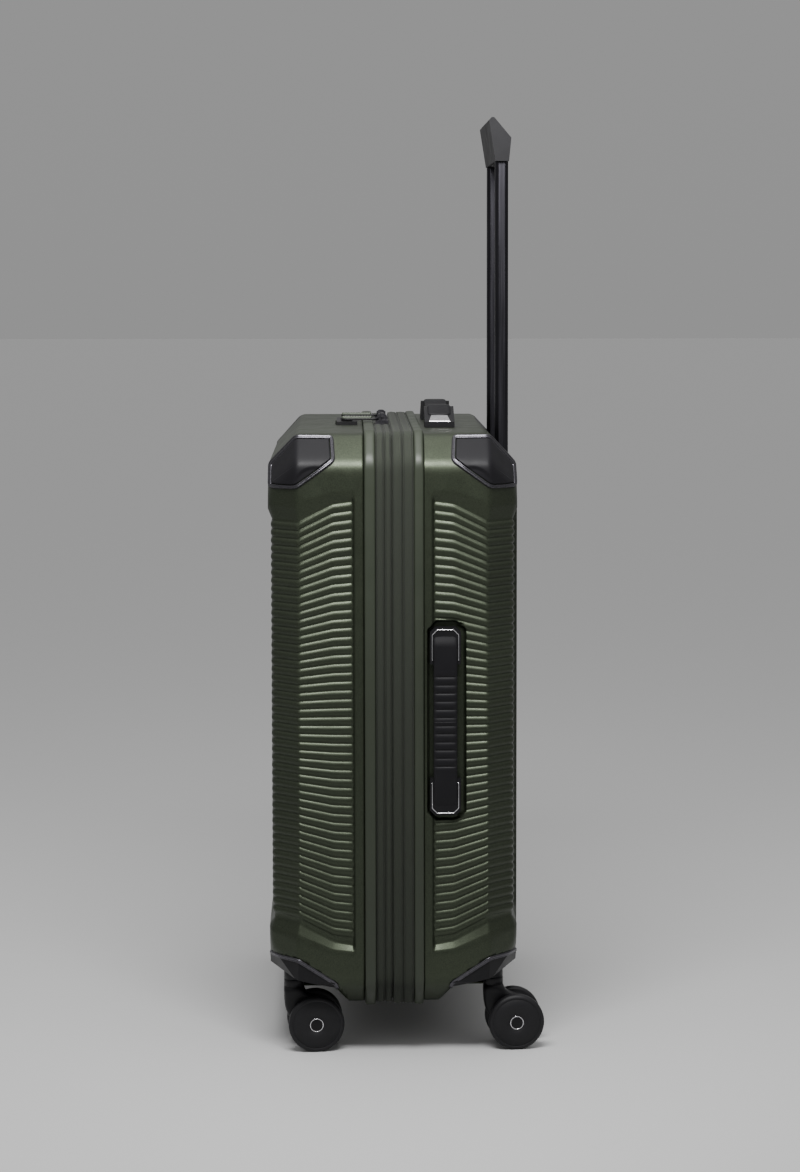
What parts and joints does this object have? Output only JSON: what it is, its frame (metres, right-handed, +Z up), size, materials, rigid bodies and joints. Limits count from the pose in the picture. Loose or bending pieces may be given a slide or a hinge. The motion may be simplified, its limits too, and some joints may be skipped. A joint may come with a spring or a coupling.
{
  "type": "hard shell suitcase on wheels",
  "caption": "Expandable hard shell suitcase with two hinged shells, zip closure, combination lock, telescopic trolley handle, carry handles and swivelling twin-wheel casters.",
  "frame": {"origin": "on the floor, under the middle of the bounding box, with three casters trailing backwards, the back left one trailing forwards, and the trolley handle pulled out", "axes": "+Z up, -Y towards the front shell, +X towards the side with the side carry handle"},
  "size_m": [0.4584, 0.285, 0.971],
  "materials": {
    "shell": "satin",
    "trim": "satin",
    "zip_fabric": "matte",
    "lining": "matte",
    "black_plastic": "satin",
    "trolley_tube": "satin",
    "axle_steel": "satin",
    "wheel_tread": "satin",
    "zip_metal": "satin",
    "chrome": "gloss",
    "puller": "satin",
    "dial": "satin"
  },
  "bodies": {
    "back_case": {"back_shell": "shell", "back_trim": "trim", "back_zip_tape": "zip_fabric", "back_lining": "lining", "expansion_gusset": "zip_fabric", "back_left_corner_protector": "black_plastic", "back_right_corner_protector": "black_plastic", "back_left_caster_housing": "black_plastic", "back_right_caster_housing": "black_plastic", "trolley_outer_tube_left": "trolley_tube", "trolley_outer_tube_right": "trolley_tube", "trolley_bezel": "black_plastic", "trolley_foot": "black_plastic", "side_handle_mount_lower": "black_plastic", "side_handle_mount_upper": "black_plastic", "top_handle_mount_left": "black_plastic", "top_handle_mount_right": "black_plastic"},
    "expander": {"middle_zip_band": "zip_fabric"},
    "front_case": {"front_shell": "shell", "front_trim": "trim", "front_zip_tape": "zip_fabric", "front_lining": "lining", "front_left_corner_protector": "black_plastic", "front_right_corner_protector": "black_plastic", "front_left_caster_housing": "black_plastic", "front_right_caster_housing": "black_plastic", "lock_body": "black_plastic"},
    "trolley": {"trolley_inner_tube_left": "trolley_tube", "trolley_inner_tube_right": "trolley_tube", "trolley_grip": "black_plastic"},
    "trolley_button": {"trolley_button": "black_plastic"},
    "side_handle": {"side_handle_grip": "black_plastic"},
    "top_handle": {"top_handle_grip": "black_plastic"},
    "lock_button": {"lock_button": "black_plastic"},
    "lock_key": {"lock_key_cylinder": "chrome"},
    "lock_dial_1": {"lock_dial_1": "dial"},
    "lock_dial_2": {"lock_dial_2": "dial"},
    "lock_dial_3": {"lock_dial_3": "dial"},
    "zip_slider_left": {"zip_slider_left": "zip_metal"},
    "zip_puller_left": {"zip_puller_left": "puller"},
    "zip_slider_right": {"zip_slider_right": "zip_metal"},
    "zip_puller_right": {"zip_puller_right": "puller"},
    "front_left_caster": {"front_left_caster_fork": "black_plastic", "front_left_caster_axle": "axle_steel"},
    "front_left_wheel_left": {"front_left_wheel_left": "wheel_tread"},
    "front_left_wheel_right": {"front_left_wheel_right": "wheel_tread"},
    "front_right_caster": {"front_right_caster_fork": "black_plastic", "front_right_caster_axle": "axle_steel"},
    "front_right_wheel_left": {"front_right_wheel_left": "wheel_tread"},
    "front_right_wheel_right": {"front_right_wheel_right": "wheel_tread"},
    "back_left_caster": {"back_left_caster_fork": "black_plastic", "back_left_caster_axle": "axle_steel"},
    "back_left_wheel_left": {"back_left_wheel_left": "wheel_tread"},
    "back_left_wheel_right": {"back_left_wheel_right": "wheel_tread"},
    "back_right_caster": {"back_right_caster_fork": "black_plastic", "back_right_caster_axle": "axle_steel"},
    "back_right_wheel_left": {"back_right_wheel_left": "wheel_tread"},
    "back_right_wheel_right": {"back_right_wheel_right": "wheel_tread"}
  },
  "joints": [
    {"name": "case_expansion", "type": "slide", "parent": "back_case", "child": "expander", "axis": [0, -1, 0], "range_m": [0, 0.04]},
    {"name": "lid_hinge", "type": "hinge", "parent": "expander", "child": "front_case", "pos_m": [-0.23025, -0.023, 0.346], "axis": [0, 0, -1], "range_deg": [0, 180]},
    {"name": "trolley_slide", "type": "slide", "parent": "back_case", "child": "trolley", "axis": [0, 0, 1], "range_m": [-0.32, 0]},
    {"name": "trolley_button_press", "type": "slide", "parent": "trolley", "child": "trolley_button", "axis": [0, 0, 1], "range_m": [0, 0.003], "stiffness_N_per_m": 600, "springref_m": -0.001},
    {"name": "side_handle_lift", "type": "slide", "parent": "back_case", "child": "side_handle", "axis": [1, 0, 0], "range_m": [0, 0.015]},
    {"name": "top_handle_lift", "type": "slide", "parent": "back_case", "child": "top_handle", "axis": [0, 0, 1], "range_m": [0, 0.015]},
    {"name": "front_left_caster_swivel", "type": "hinge", "parent": "front_case", "child": "front_left_caster", "pos_m": [-0.18925, -0.118, 0.07], "axis": [0, 0, 1], "continuous": true},
    {"name": "front_left_wheel_left_spin", "type": "hinge", "parent": "front_left_caster", "child": "front_left_wheel_left", "pos_m": [-0.19082, -0.09555, 0.02875], "axis": [0.9976, 0.0698, 0], "continuous": true},
    {"name": "front_left_wheel_right_spin", "type": "hinge", "parent": "front_left_caster", "child": "front_left_wheel_right", "pos_m": [-0.19082, -0.09555, 0.02875], "axis": [0.9976, 0.0698, 0], "continuous": true},
    {"name": "front_right_caster_swivel", "type": "hinge", "parent": "front_case", "child": "front_right_caster", "pos_m": [0.18675, -0.118, 0.07], "axis": [0, 0, 1], "continuous": true},
    {"name": "front_right_wheel_left_spin", "type": "hinge", "parent": "front_right_caster", "child": "front_right_wheel_left", "pos_m": [0.18518, -0.09555, 0.02875], "axis": [0.9976, 0.0698, 0], "continuous": true},
    {"name": "front_right_wheel_right_spin", "type": "hinge", "parent": "front_right_caster", "child": "front_right_wheel_right", "pos_m": [0.18518, -0.09555, 0.02875], "axis": [0.9976, 0.0698, 0], "continuous": true},
    {"name": "back_left_caster_swivel", "type": "hinge", "parent": "back_case", "child": "back_left_caster", "pos_m": [-0.18925, 0.09, 0.07], "axis": [0, 0, 1], "continuous": true},
    {"name": "back_left_wheel_left_spin", "type": "hinge", "parent": "back_left_caster", "child": "back_left_wheel_left", "pos_m": [-0.18768, 0.06756, 0.02875], "axis": [-0.9976, -0.0698, 0], "continuous": true},
    {"name": "back_left_wheel_right_spin", "type": "hinge", "parent": "back_left_caster", "child": "back_left_wheel_right", "pos_m": [-0.18768, 0.06756, 0.02875], "axis": [-0.9976, -0.0698, 0], "continuous": true},
    {"name": "back_right_caster_swivel", "type": "hinge", "parent": "back_case", "child": "back_right_caster", "pos_m": [0.18675, 0.09, 0.07], "axis": [0, 0, 1], "continuous": true},
    {"name": "back_right_wheel_left_spin", "type": "hinge", "parent": "back_right_caster", "child": "back_right_wheel_left", "pos_m": [0.18518, 0.11245, 0.02875], "axis": [0.9976, 0.0698, 0], "continuous": true},
    {"name": "back_right_wheel_right_spin", "type": "hinge", "parent": "back_right_caster", "child": "back_right_wheel_right", "pos_m": [0.18518, 0.11245, 0.02875], "axis": [0.9976, 0.0698, 0], "continuous": true},
    {"name": "lock_dial_1_turn", "type": "hinge", "parent": "front_case", "child": "lock_dial_1", "pos_m": [-0.02525, -0.061, 0.64335], "axis": [1, 0, 0], "continuous": true},
    {"name": "lock_dial_2_turn", "type": "hinge", "parent": "front_case", "child": "lock_dial_2", "pos_m": [-0.01325, -0.061, 0.64335], "axis": [1, 0, 0], "continuous": true},
    {"name": "lock_dial_3_turn", "type": "hinge", "parent": "front_case", "child": "lock_dial_3", "pos_m": [-0.00125, -0.061, 0.64335], "axis": [1, 0, 0], "continuous": true},
    {"name": "lock_button_press", "type": "slide", "parent": "front_case", "child": "lock_button", "axis": [0, 0, -1], "range_m": [0, 0.003], "stiffness_N_per_m": 400, "springref_m": -0.001},
    {"name": "lock_key_turn", "type": "hinge", "parent": "front_case", "child": "lock_key", "pos_m": [0.01175, -0.061, 0.64], "axis": [0, 0, 1], "range_deg": [0, 90]},
    {"name": "zip_slider_left_run", "type": "slide", "parent": "front_case", "child": "zip_slider_left", "axis": [-1, 0, 0], "range_m": [0, 0.145]},
    {"name": "zip_puller_left_flip", "type": "hinge", "parent": "zip_slider_left", "child": "zip_puller_left", "pos_m": [-0.03925, -0.0238, 0.6502], "axis": [-1, 0, 0], "range_deg": [0, 150]},
    {"name": "zip_slider_right_run", "type": "slide", "parent": "front_case", "child": "zip_slider_right", "axis": [1, 0, 0], "range_m": [0, 0.145]},
    {"name": "zip_puller_right_flip", "type": "hinge", "parent": "zip_slider_right", "child": "zip_puller_right", "pos_m": [0.03675, -0.0238, 0.6502], "axis": [-1, 0, 0], "range_deg": [0, 150]}
  ]
}
